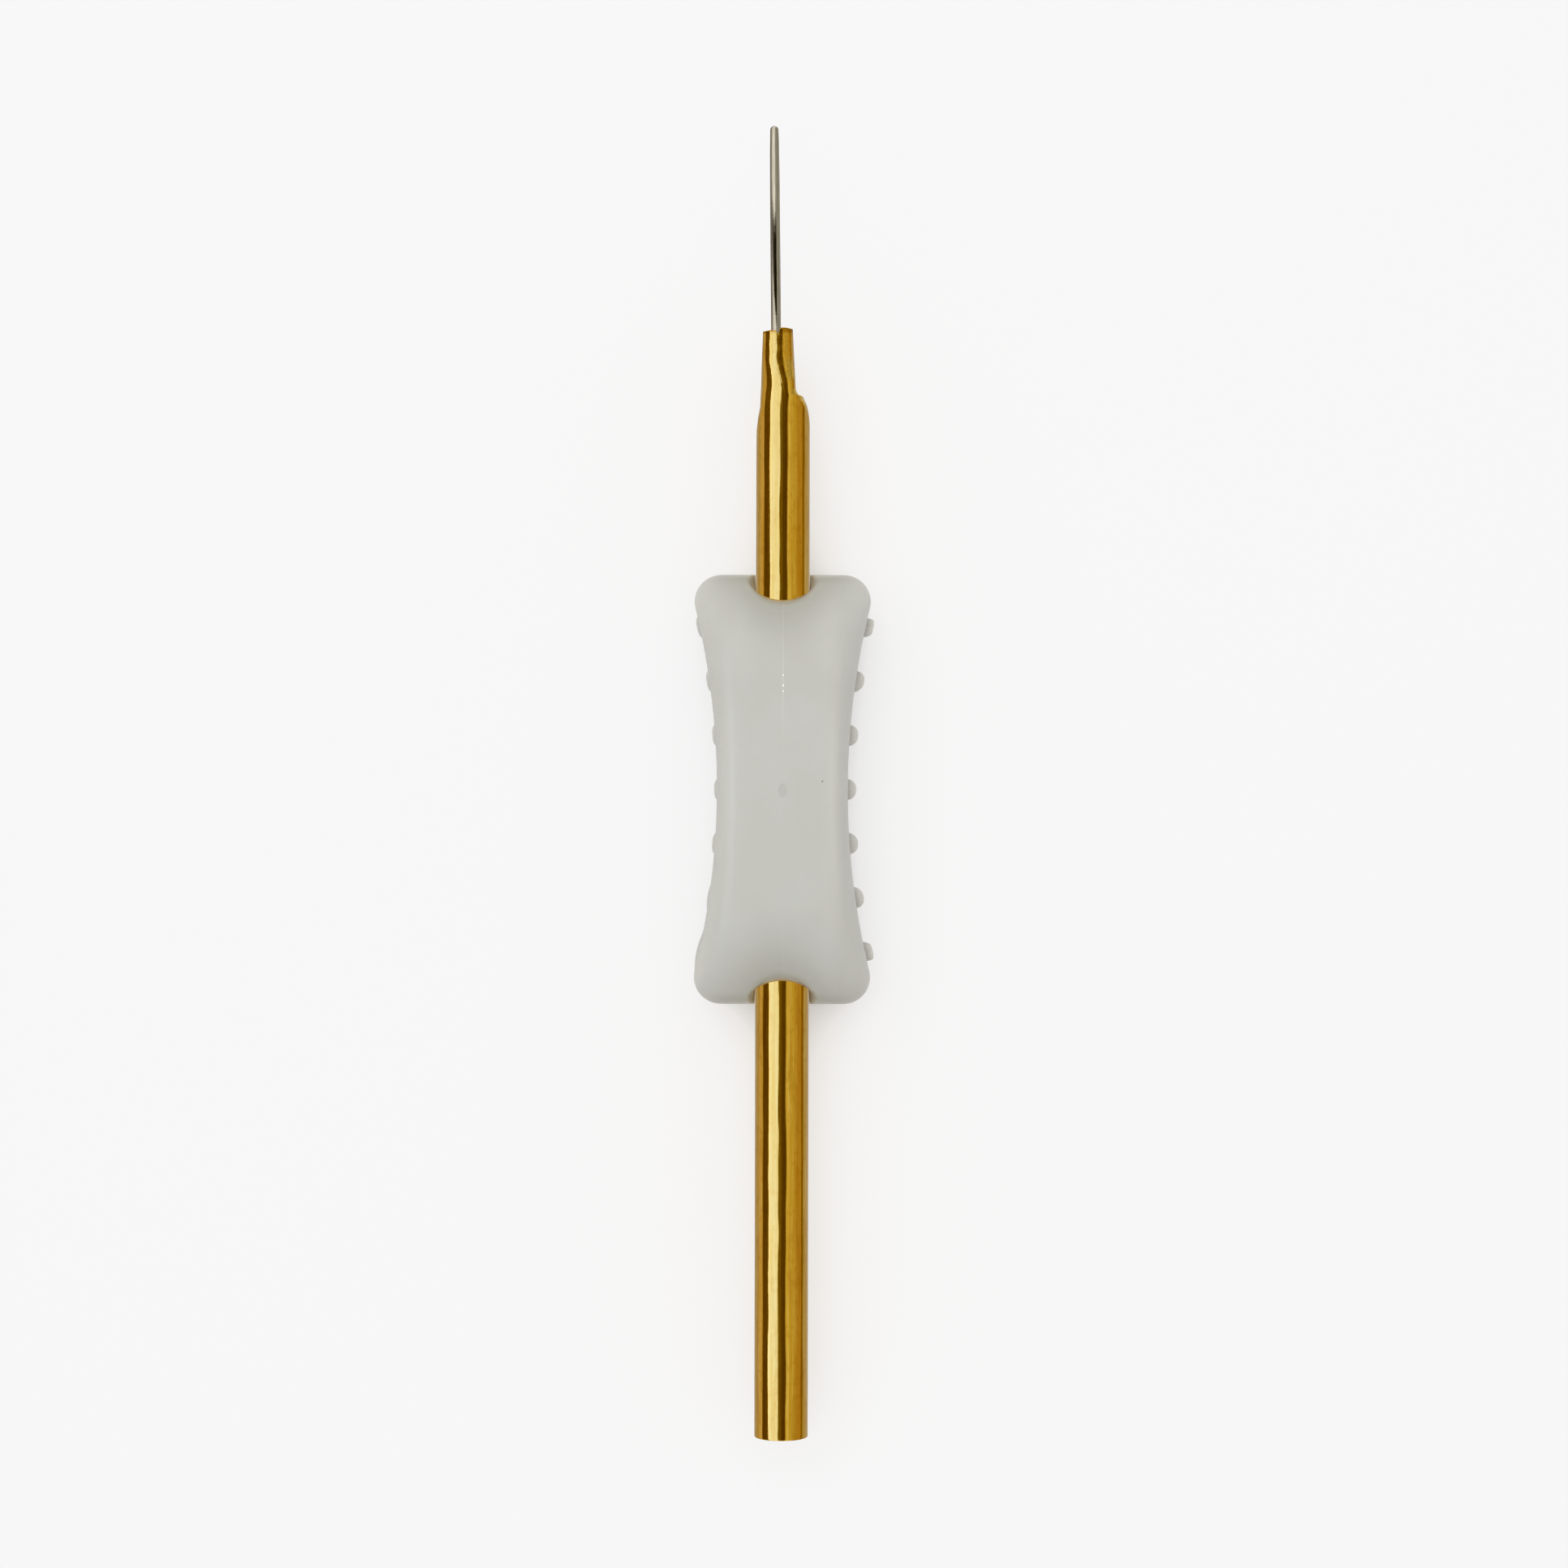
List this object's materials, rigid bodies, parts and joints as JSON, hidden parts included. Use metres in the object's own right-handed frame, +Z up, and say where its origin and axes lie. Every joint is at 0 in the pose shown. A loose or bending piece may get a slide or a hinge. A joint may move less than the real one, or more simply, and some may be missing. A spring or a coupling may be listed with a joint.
{
  "type": "scratch awl",
  "caption": "Slim hand awl: blunt steel wire blade crimped into a brass tube handle, with a soft hourglass grip sleeve that slides along the tube.",
  "frame": {"origin": "on the surface the awl lies on, under the middle of its length and on the tube's centre line", "axes": "+Y along the tube towards the blade's tip, +Z up, square to the grip's broad front face, +X to the right seen from above with the blade pointing away"},
  "size_m": [0.0159, 0.1164, 0.0118],
  "materials": {
    "brass": "bright drawn, with fine lengthwise streaks",
    "steel": "polished, with a fine lengthwise grain",
    "silicone": "milky translucent, softly matte"
  },
  "bodies": {
    "barrel": {"barrel_tube": "brass", "awl_blade": "steel"},
    "grip": {"grip_sleeve": "silicone"}
  },
  "joints": [
    {"name": "grip_slide", "type": "slide", "parent": "barrel", "child": "grip", "axis": [0, 1, 0], "range_m": [-0.038, 0.012]}
  ]
}
